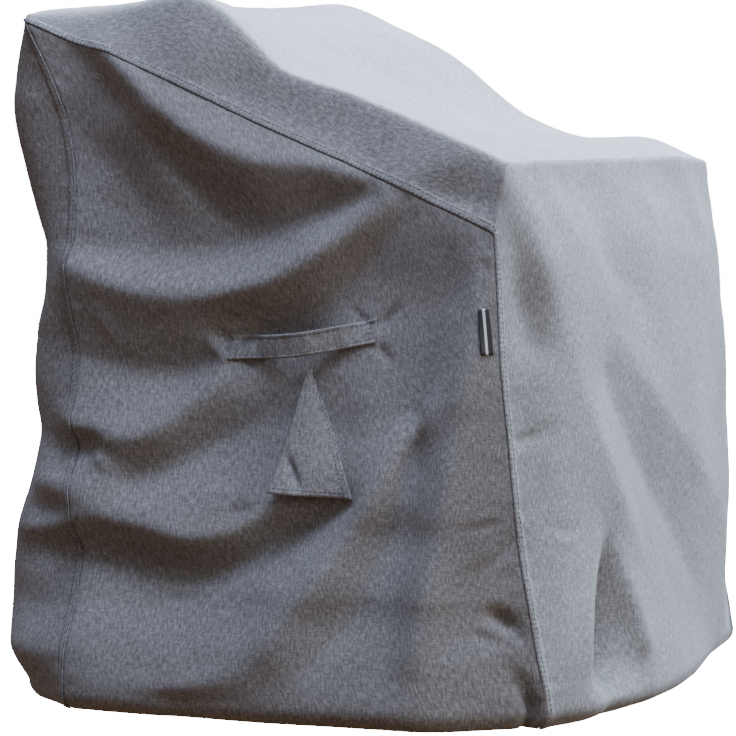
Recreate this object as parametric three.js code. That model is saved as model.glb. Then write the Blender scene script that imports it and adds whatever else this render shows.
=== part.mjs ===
// Loose cloth cover for a stack of garden armchairs: two side panels and one long centre strip
// that runs up the front, over the sloping top and down the back. It hangs slack, in swags,
// and its foot turns under on the ground. The near side carries a handle strap, a vent flap
// and a small label. All sizes are millimetres; +Z is up, the front faces -Y, the near side -X.
import * as THREE from 'three';

// Cloth and assembly
const CLOTH = 2.2;
const SEAM_GAP = 0.68;
const LAID_GAP = 0.4;

// Main sizes of the hanging cover
const HALF_WIDTH = 362;
const HALF_DEPTH = 330;
const FRONT_TOP = 650;
const BACK_TOP = 842;
const SLOPE_FRONT = -290;
const SLOPE_BACK = 165;
const FOOT_RADIUS = 22;
const FOOT_TUCK = 24;

// Middle of the finished cover's plan, which is put over the origin
const MIDDLE = { x: -0.3, y: -11.9 };

// Mesh density
const WALL_STEPS = 28;
const SLOPE_STEPS = 28;
const ACROSS_STEPS = 15;
const FOOT_STEPS = 3;

// A table is a list of rows that take their names from its column heads.
function table(columns, rows) {
  return rows.map((row) => Object.fromEntries(columns.map((name, i) => [name, row[i]])));
}

// Sections of the centre strip. Each gives the side seam, the near shoulder (how far it lies
// inside the seam, its place and how softly it is rounded), the middle line and the far shoulder.
const SECTION = [
  'seamY', 'seamZ', 'nearIn', 'nearY', 'nearZ', 'nearRound', 'midY', 'midZ',
  'farIn', 'farY', 'farZ', 'farRound',
];

const FRONT_SECTIONS = table(SECTION, [
  [-343, 22, 95, -380, 22, 110, -396, 22, 98, -358, 22, 104],
  [-328, 115, 92, -362, 115, 100, -376, 115, 86, -357, 115, 84],
  [-312, 210, 90, -348, 215, 90, -364, 215, 66, -357, 215, 70],
  [-301, 305, 86, -338, 320, 80, -356, 320, 50, -352, 320, 56],
  [-290, 400, 84, -330, 425, 70, -350, 430, 38, -345, 430, 48],
  [-284, 490, 64, -318, 535, 46, -338, 542, 36, -334, 540, 46],
  [-280, 562, 14, -288, 642, 14, -306, 652, 28, -323, 646, 36],
]);

const SLOPE_SECTIONS = table(SECTION, [
  [-280, 562, 14, -288, 642, 14, -306, 652, 28, -323, 646, 36],
  [-214, 591, 22, -244, 661, 14, -236, 664, 32, -242, 680, 26],
  [-142, 621, 28, -173, 692, 14, -155, 682, 36, -156, 680, 44],
  [-60, 655, 31, -91, 725, 14, -65, 712, 30, -76, 704, 36],
  [30, 693, 28, -6, 752, 12, 22, 754, 28, 18, 776, 34],
  [122, 732, 46, 98, 828, 18, 136, 828, 34, 112, 827, 34],
  [215, 769, 58, 220, 831, 34, 235, 842, 34, 196, 860, 34],
  [313, 804, 12, 319, 812, 16, 338, 834, 24, 330, 836, 30],
]);

const BACK_SECTIONS = table(SECTION, [
  [225, 22, 72, 332, 22, 80, 366, 22, 106, 346, 22, 120],
  [226, 62, 50, 351, 62, 70, 374, 62, 96, 362, 62, 112],
  [229, 140, 38, 352, 140, 60, 364, 140, 90, 354, 140, 100],
  [238, 260, 28, 329, 262, 44, 350, 260, 66, 342, 260, 80],
  [247, 375, 22, 329, 372, 38, 342, 375, 50, 336, 375, 70],
  [256, 490, 20, 312, 492, 32, 338, 490, 48, 330, 490, 60],
  [257, 600, 16, 332, 602, 32, 348, 600, 46, 342, 600, 60],
  [275, 715, 14, 345, 716, 30, 358, 718, 36, 350, 716, 50],
  [313, 804, 12, 319, 812, 16, 338, 834, 24, 330, 836, 30],
]);

// How far the side walls swell outward at each height
const SIDE_SWELL = table(['z', 'out'], [
  [0, 64], [22, 74], [70, 73], [140, 62], [230, 40], [360, 18], [520, 5], [700, 2], [900, 0],
]);

// Folds. Each row is a crest or a hollow: its points give its place on the face, in depth or
// width and in height, and then how far the cloth stands out there. Between the lines the
// cloth hangs taut.
const FOLD = ['name', 'points'];

const NEAR_FOLDS = table(FOLD, [
  ['corner ridge', [[231, 784, 6], [183, 745, 16], [141, 698, 22]]],
  ['ridge under the top seam', [
    [141, 698, 22], [73, 656, 26], [1, 633, 24], [-79, 631, 15], [-149, 613, 4],
  ]],
  ['corner hollow', [[290, 807, 0], [240, 763, -8], [197, 715, -10]]],
  ['corner fold', [[319, 714, 2], [267, 692, -12], [182, 703, -5]]],
  ['sharp crease', [[254, 683, -12], [200, 631, -18], [161, 586, -18], [128, 543, -14]]],
  ['slanting rib', [[199, 699, -2], [149, 643, -4], [98, 590, -7]]],
  ['long slanting hollow', [[141, 665, -4], [85, 600, -14], [29, 557, -17]]],
  ['hollow above the swag', [
    [255, 541, -8], [127, 536, -14], [22, 552, -16], [-75, 587, -11], [-133, 606, -2],
  ]],
  ['upper swag', [
    [262, 522, 10], [190, 495, 22], [68, 484, 27], [-26, 507, 27], [-90, 543, 22], [-157, 599, 5],
  ]],
  ['dark slant by the swag', [[-170, 580, -4], [-122, 530, -10], [-83, 482, -10]]],
  ['upper back hollow', [[313, 444, -8], [201, 400, -16], [89, 398, -13], [61, 420, -6]]],
  ['hollow over the strap', [[48, 452, -10], [0, 455, -15], [-50, 462, -14], [-90, 482, -10]]],
  ['back swag', [[255, 335, 14], [185, 318, 19], [130, 326, 19], [83, 359, 14], [46, 402, 4]]],
  ['slanting hollow', [
    [172, 267, -7], [123, 281, -12], [64, 311, -12], [1, 345, -9], [-37, 371, -2],
  ]],
  ['hollow under the strap', [[35, 404, -4], [-46, 411, -8], [-123, 424, -4]]],
  ['side knot hollow', [[314, 311, -8], [254, 303, -13], [206, 315, -4]]],
  ['side knot lip', [[291, 263, 9], [223, 253, 15], [179, 258, 6]]],
  ['side nick', [[310, 229, -5], [277, 224, -8], [246, 232, 2]]],
  ['knee lip', [[309, 206, 5], [210, 225, 18], [139, 219, 22], [81, 206, 22], [21, 214, 17]]],
  ['knee lip end', [[21, 214, 17], [-27, 242, 8], [-65, 257, 2]]],
  ['knee', [[327, 184, -10], [212, 180, -26], [136, 168, -30], [56, 163, -28], [-13, 190, -17]]],
  ['hollow under the flap', [[-13, 190, -17], [-63, 221, -12], [-121, 253, -6]]],
  ['bottom swag', [[245, 35, 14], [145, 34, 22], [44, 42, 27], [-23, 71, 27]]],
  ['bottom swag rise', [
    [-23, 71, 27], [-59, 120, 27], [-96, 174, 25], [-133, 231, 20], [-164, 286, 14],
  ]],
  ['bottom swag end', [[-164, 286, 14], [-183, 320, 10], [-208, 372, 3]]],
  ['hollow before the swag', [[-84, 70, 2], [-118, 110, -8], [-154, 180, -12], [-184, 260, -9]]],
  ['foot line', [
    [90, 22, 14], [-20, 22, 20], [-110, 22, 14], [-190, 22, 10], [-270, 22, 8], [-320, 22, 4],
  ]],
  ['upright hollow', [
    [-234, 541, -4], [-210, 451, -11], [-196, 372, -15], [-188, 283, -15], [-182, 194, -13],
  ]],
  ['upright hollow foot', [[-182, 194, -13], [-178, 130, -9], [-176, 70, -2]]],
  ['upright ridge', [
    [-272, 557, 3], [-266, 486, 11], [-252, 413, 16], [-242, 346, 18], [-236, 284, 18],
    [-229, 217, 15],
  ]],
  ['upright ridge foot', [[-229, 217, 15], [-221, 150, 11], [-214, 80, 6]]],
  ['low hollow by the seam', [[-230, 78, -1], [-254, 116, -6], [-264, 180, -3]]],
  ['back foot hollow', [[325, 116, -10], [281, 113, -12], [228, 113, -4]]],
  ['back foot lip', [[328, 67, 10], [265, 61, 12], [199, 59, 14]]],
  ['top corner line', [[-168, 618, 2], [-216, 636, 9], [-264, 650, 8]]],
  ['top corner facet', [[-199, 606, -4], [-246, 600, -8], [-282, 596, -6]]],
  ['back rail line', [[120, 822, 6], [106, 783, 7], [86, 731, 2]]],
  ['top facet hollow', [[71, 736, -4], [-37, 694, -6], [-136, 645, -3]]],
]);

const FAR_FOLDS = table(FOLD, [
  ['ridge under the top seam', [[240, 770, 8], [110, 680, 24], [-20, 630, 24], [-150, 610, 4]]],
  ['hollow above the swag', [[260, 600, -8], [120, 560, -16], [0, 545, -14], [-150, 590, -4]]],
  ['upper swag', [[290, 560, 12], [140, 500, 26], [0, 490, 27], [-120, 530, 16], [-230, 580, 4]]],
  ['hollow under the swag', [[290, 450, -10], [130, 400, -16], [-40, 400, -14], [-200, 460, -6]]],
  ['middle swag', [[290, 350, 14], [100, 320, 24], [-60, 320, 22], [-220, 410, 8]]],
  ['knee lip', [[300, 238, 12], [120, 224, 20], [-60, 236, 18], [-180, 280, 6]]],
  ['knee', [[300, 204, -12], [120, 178, -26], [-40, 188, -22], [-180, 244, -8]]],
  ['bottom swag', [[240, 50, 16], [80, 44, 24], [-60, 110, 24], [-160, 200, 18], [-230, 330, 6]]],
  ['upright hollow', [[-200, 80, -6], [-220, 280, -9], [-250, 520, -4]]],
  ['upright ridge', [[-240, 90, 8], [-262, 300, 10], [-276, 530, 3]]],
]);

const FRONT_FOLDS = table(FOLD, [
  ['corner crest', [[-318, 613, 2], [-306, 543, 8], [-274, 447, 10]]],
  ['corner hollow', [[-342, 567, -2], [-334, 500, -7], [-318, 430, -5]]],
  ['near crest', [[-274, 447, 10], [-280, 344, 5], [-292, 231, 4], [-306, 100, 4]]],
  ['long crest', [
    [-274, 447, 10], [-240, 400, 13], [-196, 335, 17], [-120, 254, 19], [-62, 176, 14],
  ]],
  ['long hollow', [
    [-190, 395, -2], [-142, 322, -8], [-76, 258, -11], [0, 198, -9], [100, 121, -2],
  ]],
  ['upper dent', [[-159, 570, 0], [-99, 521, -8], [-12, 475, -4]]],
  ['far crest', [[-136, 442, 5], [-40, 368, 12], [66, 300, 17], [190, 214, 15], [290, 130, 6]]],
  ['foot hollow', [[-200, 192, -2], [-218, 128, -25], [-234, 64, -34], [-240, 34, -18]]],
  ['foot hollow near lip', [[-216, 196, 7], [-254, 135, 11], [-282, 64, 11]]],
  ['foot hollow far lip', [[-184, 200, 8], [-162, 131, 20], [-146, 71, 24]]],
  ['foot line', [
    [-330, 22, 2], [-285, 22, 6], [-224, 22, 4], [-147, 22, 8], [0, 22, 8], [240, 22, -2],
  ]],
  ['far swag', [[345, 560, 2], [200, 480, 9], [40, 520, 2]]],
]);

const BACK_FOLDS = table(FOLD, [
  ['upper swag', [[-345, 740, 6], [-180, 680, 18], [0, 660, 22], [180, 680, 18], [345, 745, 8]]],
  ['hollow under the upper swag', [[-340, 545, -8], [0, 530, -18], [340, 560, -10]]],
  ['middle swag', [[-360, 450, 8], [-20, 400, 26], [340, 470, 12]]],
  ['knee hollow', [[-370, 322, -6], [-160, 306, -18], [60, 300, -18], [340, 335, -8]]],
  ['lower swag', [[-370, 200, 4], [40, 160, 18], [340, 215, 8]]],
  ['foot hollow', [[-330, 90, -6], [20, 85, -8], [300, 100, -4]]],
]);

const TOP_FOLDS = table(FOLD, [
  ['crease from the back rail', [[-262, 150, 6], [-315, 122, 6], [-350, 100, 0]]],
  ['sag behind the front edge', [[-250, -120, -4], [0, -110, -10], [290, -120, -6]]],
  ['sag below the back rail', [[-220, 60, -6], [20, 50, -12], [250, 55, -4], [330, 55, 0]]],
]);

// Handle strap, vent flap and label, placed by depth and height on the near side. The strap
// and the flap stand out by the given amount where they are loose.
const STRAP = { width: 28, thick: 3, stand: 25, steps: 18 };
const STRAP_LINE = table(['y', 'z'], [[44, 425], [-46, 431], [-137, 448]]);
const STRAP_SEWN = 0.06;
const VENT = { apexY: -58, apexZ: 410, baseZ: 257, backY: -26, frontY: -124, stand: 20 };
const VENT_SHAPE = { footRise: 6, bulge: 0.25, taper: 0.6 };
const VENT_GRID = { down: 10, across: 6, thick: 2 };
const VENT_TIP = 0.05;
const LABEL = { topY: -271, topZ: 476, footY: -277, footZ: 424, width: 11, thick: 1.2, steps: 5 };

// Colours taken from the cloth by eye
const CLOTH_GREY = 0x6d7079;
const CLOTH_LIGHT = 0x7d8089;
const LABEL_DARK = 0x1d212b;

function clamp01(x) {
  return Math.min(1, Math.max(0, x));
}

function smooth(x) {
  const t = clamp01(x);
  return t * t * (3 - 2 * t);
}

function lookUp(rows, key, at, value) {
  const last = rows.length - 1;
  if (at <= rows[0][key]) return rows[0][value];
  if (at >= rows[last][key]) return rows[last][value];
  const i = rows.findIndex((row) => row[key] > at);
  const low = rows[i - 1];
  const high = rows[i];
  return low[value] + (high[value] - low[value]) * smooth((at - low[key]) / (high[key] - low[key]));
}

// Height of the top over a given depth, front to back
function topHeight(y) {
  const along = clamp01((y - SLOPE_FRONT) / (SLOPE_BACK - SLOPE_FRONT));
  return FRONT_TOP + (BACK_TOP - FRONT_TOP) * along;
}

// Distance of a side wall from the middle, at a given depth and height
function sideReach(y, z) {
  const frontFade = smooth((y + 352) / 150);
  const backFade = 1 - 0.55 * smooth((y - 190) / 190);
  return HALF_WIDTH + lookUp(SIDE_SWELL, 'z', z, 'out') * frontFade * backFade;
}

// Outward direction of the rounded box that the cloth hangs around
function outward(p) {
  const power = 5;
  const across = p.x / (HALF_WIDTH + 10);
  const deep = p.y / HALF_DEPTH;
  const high = Math.max(0, p.z) / topHeight(p.y);
  const raise = (v) => Math.sign(v) * Math.abs(v) ** power;
  return new THREE.Vector3(raise(across), raise(deep), raise(high)).normalize();
}

// Grid on which a face's folds are drawn taut: its spacing, the coarser grids it starts from,
// how long each is worked, and how softly the crests are rounded
const FIELD = { step: 7, scales: [8, 4, 2, 1], passes: 140, rounding: 4 };
const LINE_STEPS = 240;

function resample(field, rows, cols) {
  const lastRow = field.length - 1;
  const lastCol = field[0].length - 1;
  return Array.from({ length: rows }, (_, i) => Array.from({ length: cols }, (__, j) => {
    const u = (i / (rows - 1)) * lastRow;
    const v = (j / (cols - 1)) * lastCol;
    return bilinear(field, u, v);
  }));
}

function bilinear(field, u, v) {
  const i = Math.min(Math.floor(Math.max(u, 0)), field.length - 2);
  const j = Math.min(Math.floor(Math.max(v, 0)), field[0].length - 2);
  const du = clamp01(u - i);
  const dv = clamp01(v - j);
  const low = field[i][j] * (1 - du) + field[i + 1][j] * du;
  const high = field[i][j + 1] * (1 - du) + field[i + 1][j + 1] * du;
  return low * (1 - dv) + high * dv;
}

// Each point moves to the middle of its four neighbours, except where a line holds it.
function relax(field, held) {
  const lastRow = field.length - 1;
  const lastCol = field[0].length - 1;
  return field.map((row, i) => row.map((_, j) => {
    if (held && held[i][j] !== null) return held[i][j];
    const up = field[Math.min(i + 1, lastRow)][j];
    const down = field[Math.max(i - 1, 0)][j];
    return (up + down + row[Math.min(j + 1, lastCol)] + row[Math.max(j - 1, 0)]) / 4;
  }));
}

// Lays a taut surface over the fold lines of one face.
function tautFace(folds, range, pinned) {
  const lines = folds.map((fold) => {
    const points = fold.points.map(([a, b, out]) => new THREE.Vector3(a, b, out));
    return new THREE.CatmullRomCurve3(points, false, 'centripetal').getPoints(LINE_STEPS);
  });
  const marks = [...lines, ...pinned].flat();
  let field = [[0, 0], [0, 0]];
  for (const scale of FIELD.scales) {
    const step = FIELD.step * scale;
    const rows = Math.round((range.toA - range.fromA) / step) + 1;
    const cols = Math.round((range.toB - range.fromB) / step) + 1;
    const sums = Array.from({ length: rows }, () => Array.from({ length: cols }, () => [0, 0]));
    for (const mark of marks) {
      const i = Math.round((mark.x - range.fromA) / step);
      const j = Math.round((mark.y - range.fromB) / step);
      if (i >= 0 && j >= 0 && i < rows && j < cols) {
        sums[i][j][0] += mark.z;
        sums[i][j][1] += 1;
      }
    }
    const held = sums.map((row) => row.map(([sum, count]) => (count ? sum / count : null)));
    field = resample(field, rows, cols);
    for (let k = 0; k < FIELD.passes; k += 1) field = relax(field, held);
  }
  for (let k = 0; k < FIELD.rounding; k += 1) field = relax(field, null);
  return (a, b) => bilinear(field, (a - range.fromA) / FIELD.step, (b - range.fromB) / FIELD.step);
}

// The foot turns under on the ground: a quarter round, then a flat tuck.
function footRow(wallPoint, step) {
  const flat = new THREE.Vector3(wallPoint.x, wallPoint.y, 0);
  const out = outward(flat).setZ(0).normalize();
  const turn = (Math.PI / 2) * (1 - Math.max(0, step) / FOOT_STEPS);
  const inset = FOOT_RADIUS * (1 - Math.cos(turn)) + (step < 0 ? FOOT_TUCK : 0);
  const point = flat.addScaledVector(out, -inset);
  point.z = FOOT_RADIUS * (1 - Math.sin(turn));
  const inward = out.multiplyScalar(-Math.cos(turn)).setZ(Math.sin(turn));
  return { point, inward };
}

// Lines that run the length of a group of sections, and the roundings beside them
function sectionLines(sections) {
  const half = (s) => sideReach(s.seamY, s.seamZ);
  const v = (x, y, z) => new THREE.Vector3(x, y, z);
  const points = [
    sections.map((s) => v(-half(s), s.seamY, s.seamZ)),
    sections.map((s) => v(-half(s) + s.nearIn, s.nearY, s.nearZ)),
    sections.map((s) => v(0, s.midY, s.midZ)),
    sections.map((s) => v(half(s) - s.farIn, s.farY, s.farZ)),
    sections.map((s) => v(half(s), s.seamY, s.seamZ)),
    sections.map((s, i) => v(s.nearRound, s.farRound, i)),
  ];
  return points.map((line) => new THREE.CatmullRomCurve3(line, false, 'centripetal'));
}

const FRONT_LINES = sectionLines(FRONT_SECTIONS);
const SLOPE_LINES = sectionLines(SLOPE_SECTIONS);
const BACK_LINES = sectionLines(BACK_SECTIONS);

// Side seam, with its distance from the middle worked out afresh at each place
function seamPoint(lines, t, side) {
  const p = lines[0].getPoint(t);
  return new THREE.Vector3(side * sideReach(p.y, p.z), p.y, p.z);
}

// The faces, each with its folds drawn taut between the seams that hold it
const SIDE_RANGE = { fromA: -420, toA: 420, fromB: 0, toB: 880 };
const WALL_RANGE = { fromA: -460, toA: 460, fromB: 0, toB: 880 };
const TOP_RANGE = { fromA: -460, toA: 460, fromB: -400, toB: 400 };

function seamMarks(lines, side, key) {
  const marks = [];
  for (let i = 0; i <= LINE_STEPS; i += 1) {
    const p = seamPoint(lines, i / LINE_STEPS, side);
    marks.push(new THREE.Vector3(p[key], p.z, 0));
  }
  return marks;
}

const SIDE_SEAMS = [FRONT_LINES, SLOPE_LINES].map((lines) => seamMarks(lines, -1, 'y'));
const FRONT_SEAMS = [-1, 1].map((side) => seamMarks(FRONT_LINES, side, 'x'));
const FACES = [
  { lift: tautFace(NEAR_FOLDS, SIDE_RANGE, SIDE_SEAMS), a: 'y', b: 'z', facing: (n) => -n.x },
  { lift: tautFace(FAR_FOLDS, SIDE_RANGE, SIDE_SEAMS), a: 'y', b: 'z', facing: (n) => n.x },
  { lift: tautFace(FRONT_FOLDS, WALL_RANGE, FRONT_SEAMS), a: 'x', b: 'z', facing: (n) => -n.y },
  { lift: tautFace(BACK_FOLDS, WALL_RANGE, []), a: 'x', b: 'z', facing: (n) => n.y },
  { lift: tautFace(TOP_FOLDS, TOP_RANGE, []), a: 'x', b: 'y', facing: (n) => n.z },
];

// Moves a point of the plain form to where the slack cloth hangs.
function hang(p) {
  const out = outward(p);
  let lift = 0;
  for (const face of FACES) {
    const share = smooth((face.facing(out) - 0.25) / 0.5);
    if (share > 0) lift += share * face.lift(p[face.a], p[face.b]);
  }
  return { point: p.clone().addScaledVector(out, lift), inward: out.negate() };
}

// Straight runs between the knots, with each inner knot rounded off
function roundedLine(knots, rounds) {
  const curve = new THREE.CurvePath();
  let start = knots[0];
  for (let i = 1; i < knots.length - 1; i += 1) {
    const knot = knots[i];
    const trim = (to) => Math.min(rounds[i - 1], knot.distanceTo(to) * 0.48);
    const into = knot.clone().add(knots[i - 1].clone().sub(knot).setLength(trim(knots[i - 1])));
    const away = knot.clone().add(knots[i + 1].clone().sub(knot).setLength(trim(knots[i + 1])));
    curve.add(new THREE.LineCurve3(start, into));
    curve.add(new THREE.QuadraticBezierCurve3(into, knot, away));
    start = away;
  }
  curve.add(new THREE.LineCurve3(start, knots[knots.length - 1]));
  return curve;
}

// Slit at the foot of the near front seam, where it is left unsewn
const SLIT = { height: 86, wide: 3 };
const MIDDLE_ROUND = 170;

function stripRow(lines, t, slit) {
  const knots = lines.slice(0, 5).map((line) => line.getPoint(t));
  knots[0] = seamPoint(lines, t, -1);
  knots[4] = seamPoint(lines, t, 1);
  const rounds = lines[5].getPoint(t);
  const curve = roundedLine(knots, [rounds.x, MIDDLE_ROUND, rounds.y]);
  const start = slit ? (SLIT.wide * smooth(1 - knots[0].z / SLIT.height)) / curve.getLength() : 0;
  const row = [];
  for (let i = 0; i <= ACROSS_STEPS; i += 1) {
    row.push(curve.getPointAt(start + (1 - start) * (i / ACROSS_STEPS)));
  }
  return row;
}

// Rows of hanging points for a wall: the foot rows, then the wall up to the top seam
function wallRows(baseRow) {
  const rows = [];
  const foot = baseRow(0).map((p) => hang(p).point);
  for (let step = -1; step < FOOT_STEPS; step += 1) {
    rows.push(foot.map((p) => footRow(p, step)));
  }
  for (let i = 0; i <= WALL_STEPS; i += 1) rows.push(baseRow(i / WALL_STEPS).map(hang));
  return rows;
}

// Turns a grid of {point, inward} into one closed sheet, with its edges drawn in a little so
// that neighbouring panels stay apart at their seams.
function sheet(grid, thick, drawIn) {
  const rows = grid.length;
  const cols = grid[0].length;
  const outer = grid.map((row) => row.map((cell) => cell.point.clone()));
  const pull = (cell, towards) => cell.add(towards.clone().sub(cell).setLength(drawIn));
  for (const row of outer) {
    const first = row[1].clone();
    const last = row[cols - 2].clone();
    pull(row[0], first);
    pull(row[cols - 1], last);
  }
  const bottomUp = outer[1].map((p) => p.clone());
  const topDown = outer[rows - 2].map((p) => p.clone());
  outer[0].forEach((p, j) => pull(p, bottomUp[j]));
  outer[rows - 1].forEach((p, j) => pull(p, topDown[j]));
  const positions = [];
  outer.forEach((row) => row.forEach((p) => positions.push(p.x, p.y, p.z)));
  outer.forEach((row, i) => row.forEach((p, j) => {
    const q = p.clone().addScaledVector(grid[i][j].inward, thick);
    positions.push(q.x, q.y, q.z);
  }));
  const at = (i, j, layer) => layer * rows * cols + i * cols + j;
  const index = [];
  const quad = (a, b, c, d) => index.push(a, b, c, a, c, d);
  for (let i = 0; i < rows - 1; i += 1) {
    for (let j = 0; j < cols - 1; j += 1) {
      quad(at(i, j, 0), at(i, j + 1, 0), at(i + 1, j + 1, 0), at(i + 1, j, 0));
      quad(at(i, j, 1), at(i + 1, j, 1), at(i + 1, j + 1, 1), at(i, j + 1, 1));
    }
  }
  for (let j = 0; j < cols - 1; j += 1) {
    quad(at(0, j, 1), at(0, j + 1, 1), at(0, j + 1, 0), at(0, j, 0));
    quad(at(rows - 1, j, 0), at(rows - 1, j + 1, 0), at(rows - 1, j + 1, 1), at(rows - 1, j, 1));
  }
  for (let i = 0; i < rows - 1; i += 1) {
    quad(at(i, 0, 0), at(i + 1, 0, 0), at(i + 1, 0, 1), at(i, 0, 1));
    quad(at(i, cols - 1, 1), at(i + 1, cols - 1, 1), at(i + 1, cols - 1, 0), at(i, cols - 1, 0));
  }
  const geometry = new THREE.BufferGeometry();
  geometry.setAttribute('position', new THREE.Float32BufferAttribute(positions, 3));
  geometry.setIndex(index);
  geometry.computeVertexNormals();
  return geometry;
}

// Centre strip: front wall, sloping top and back wall in one length
function centreGrid() {
  const front = wallRows((t) => stripRow(FRONT_LINES, t, true));
  const slope = [];
  for (let i = 1; i < SLOPE_STEPS; i += 1) {
    slope.push(stripRow(SLOPE_LINES, i / SLOPE_STEPS, false).map(hang));
  }
  const back = wallRows((t) => stripRow(BACK_LINES, t, false)).reverse();
  return [...front, ...slope, ...back];
}

// Side panel: the plain wall between its back seam, front seam, foot and sloping top seam
function sideGrid(side) {
  const base = (t) => {
    const row = [];
    const back = seamPoint(BACK_LINES, t, side);
    const front = seamPoint(FRONT_LINES, t, side);
    const backFoot = seamPoint(BACK_LINES, 0, side);
    const frontFoot = seamPoint(FRONT_LINES, 0, side);
    const backTop = seamPoint(BACK_LINES, 1, side);
    const frontTop = seamPoint(FRONT_LINES, 1, side);
    for (let i = 0; i <= SLOPE_STEPS; i += 1) {
      const u = i / SLOPE_STEPS;
      const top = seamPoint(SLOPE_LINES, 1 - u, side);
      const foot = backFoot.clone().lerp(frontFoot, u);
      const p = foot.multiplyScalar(1 - t).addScaledVector(top, t);
      p.addScaledVector(back, 1 - u).addScaledVector(front, u);
      p.addScaledVector(backFoot, -(1 - u) * (1 - t)).addScaledVector(frontFoot, -u * (1 - t));
      p.addScaledVector(backTop, -(1 - u) * t).addScaledVector(frontTop, -u * t);
      if (i > 0 && i < SLOPE_STEPS) p.x = side * sideReach(p.y, p.z);
      row.push(p);
    }
    return side < 0 ? row : row.reverse();
  };
  return wallRows(base);
}

// Finds how far out the near panel reaches around a given depth and height.
const NEARBY = 3;

function faceFinder(grid) {
  const triangles = [];
  for (let i = FOOT_STEPS + 1; i < grid.length - 1; i += 1) {
    for (let j = 0; j < grid[0].length - 1; j += 1) {
      const [a, b] = [grid[i][j].point, grid[i][j + 1].point];
      const [c, d] = [grid[i + 1][j + 1].point, grid[i + 1][j].point];
      triangles.push(new THREE.Triangle(a, b, c), new THREE.Triangle(a, c, d));
    }
  }
  const inPlane = (p) => new THREE.Vector3(p.y, p.z, 0);
  const flat = triangles.map((t) => new THREE.Triangle(inPlane(t.a), inPlane(t.b), inPlane(t.c)));
  const reach = (y, z) => {
    const spot = new THREE.Vector3(y, z, 0);
    const k = flat.findIndex((t) => t.containsPoint(spot));
    if (k < 0) return 0;
    const weights = flat[k].getBarycoord(spot, new THREE.Vector3());
    const { a, b, c } = triangles[k];
    return a.x * weights.x + b.x * weights.y + c.x * weights.z;
  };
  const near = [-NEARBY, 0, NEARBY];
  return (y, z) => {
    const around = near.flatMap((dy) => near.map((dz) => reach(y + dy, z + dz)));
    return new THREE.Vector3(Math.min(...around), y, z);
  };
}

// A small flat piece laid on the near panel: its grid gives depth, height and lift.
function laidPiece(rows, thick, onPanel) {
  const out = new THREE.Vector3(-1, 0, 0);
  const grid = rows.map((row) => row.map(([y, z, lift]) => {
    const point = onPanel(y, z).addScaledVector(out, lift + LAID_GAP + thick);
    return { point, inward: out.clone().negate() };
  }));
  return sheet(grid, thick, 0.01);
}

// Handle strap: a folded band sewn down at both ends, bowed out between them
function handleStrap(onPanel) {
  const points = STRAP_LINE.map((p) => new THREE.Vector3(0, p.y, p.z));
  const curve = new THREE.CatmullRomCurve3(points, false, 'centripetal');
  const rows = [];
  for (let k = 0; k <= 2; k += 1) {
    const row = [];
    for (let i = 0; i <= STRAP.steps; i += 1) {
      const t = i / STRAP.steps;
      const p = curve.getPointAt(t);
      const free = smooth((t - STRAP_SEWN) / (1 - 2 * STRAP_SEWN));
      const lift = STRAP.stand * Math.sin(Math.PI * free) ** 0.8;
      row.push([p.y, p.z + STRAP.width * (k / 2 - 0.5), lift]);
    }
    rows.push(row);
  }
  return laidPiece(rows, STRAP.thick, onPanel);
}

// Vent flap: a three-cornered hood, sewn along its front edge and open at its foot
function ventFlap(onPanel) {
  const rows = [];
  for (let k = 0; k <= VENT_GRID.down; k += 1) {
    const down = 1 - k / VENT_GRID.down;
    const fall = VENT_TIP + (1 - VENT_TIP) * down;
    const row = [];
    for (let i = 0; i <= VENT_GRID.across; i += 1) {
      const u = i / VENT_GRID.across;
      const backY = VENT.apexY + (VENT.backY - VENT.apexY) * fall;
      const frontY = VENT.apexY + (VENT.frontY - VENT.apexY) * fall;
      const rise = VENT_SHAPE.footRise * (1 - u) * fall ** 2;
      const z = VENT.apexZ + (VENT.baseZ - VENT.apexZ) * fall + rise;
      const crown = 1 - u + VENT_SHAPE.bulge * Math.sin(Math.PI * u);
      row.push([backY + (frontY - backY) * u, z, VENT.stand * fall ** VENT_SHAPE.taper * crown]);
    }
    rows.push(row);
  }
  return laidPiece(rows, VENT_GRID.thick, onPanel);
}

// Label: a small woven tag caught in the front seam
function labelTag(onPanel) {
  const rows = [];
  for (let k = 0; k <= LABEL.steps; k += 1) {
    const t = k / LABEL.steps;
    const y = LABEL.footY + (LABEL.topY - LABEL.footY) * t;
    const z = LABEL.footZ + (LABEL.topZ - LABEL.footZ) * t;
    rows.push([0, 0.5, 1].map((u) => [y + LABEL.width * (0.5 - u), z, -0.4]));
  }
  return laidPiece(rows, LABEL.thick, onPanel);
}

function named(name, geometry, color, roughness) {
  const material = new THREE.MeshStandardMaterial({ color, roughness, metalness: 0 });
  const mesh = new THREE.Mesh(geometry, material);
  mesh.name = name;
  return mesh;
}

const nearGrid = sideGrid(-1);
const onNearPanel = faceFinder(nearGrid);
const cover = new THREE.Group();
cover.add(named('centre_strip', sheet(centreGrid(), CLOTH, SEAM_GAP / 2), CLOTH_LIGHT, 0.9));
cover.add(named('near_side_panel', sheet(nearGrid, CLOTH, SEAM_GAP / 2), CLOTH_GREY, 0.9));
cover.add(named('far_side_panel', sheet(sideGrid(1), CLOTH, SEAM_GAP / 2), CLOTH_GREY, 0.9));
cover.add(named('handle_strap', handleStrap(onNearPanel), CLOTH_GREY, 0.85));
cover.add(named('vent_flap', ventFlap(onNearPanel), CLOTH_GREY, 0.9));
cover.add(named('label_tag', labelTag(onNearPanel), LABEL_DARK, 0.6));
cover.position.set(-MIDDLE.x, -MIDDLE.y, 0);

export default cover;
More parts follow.
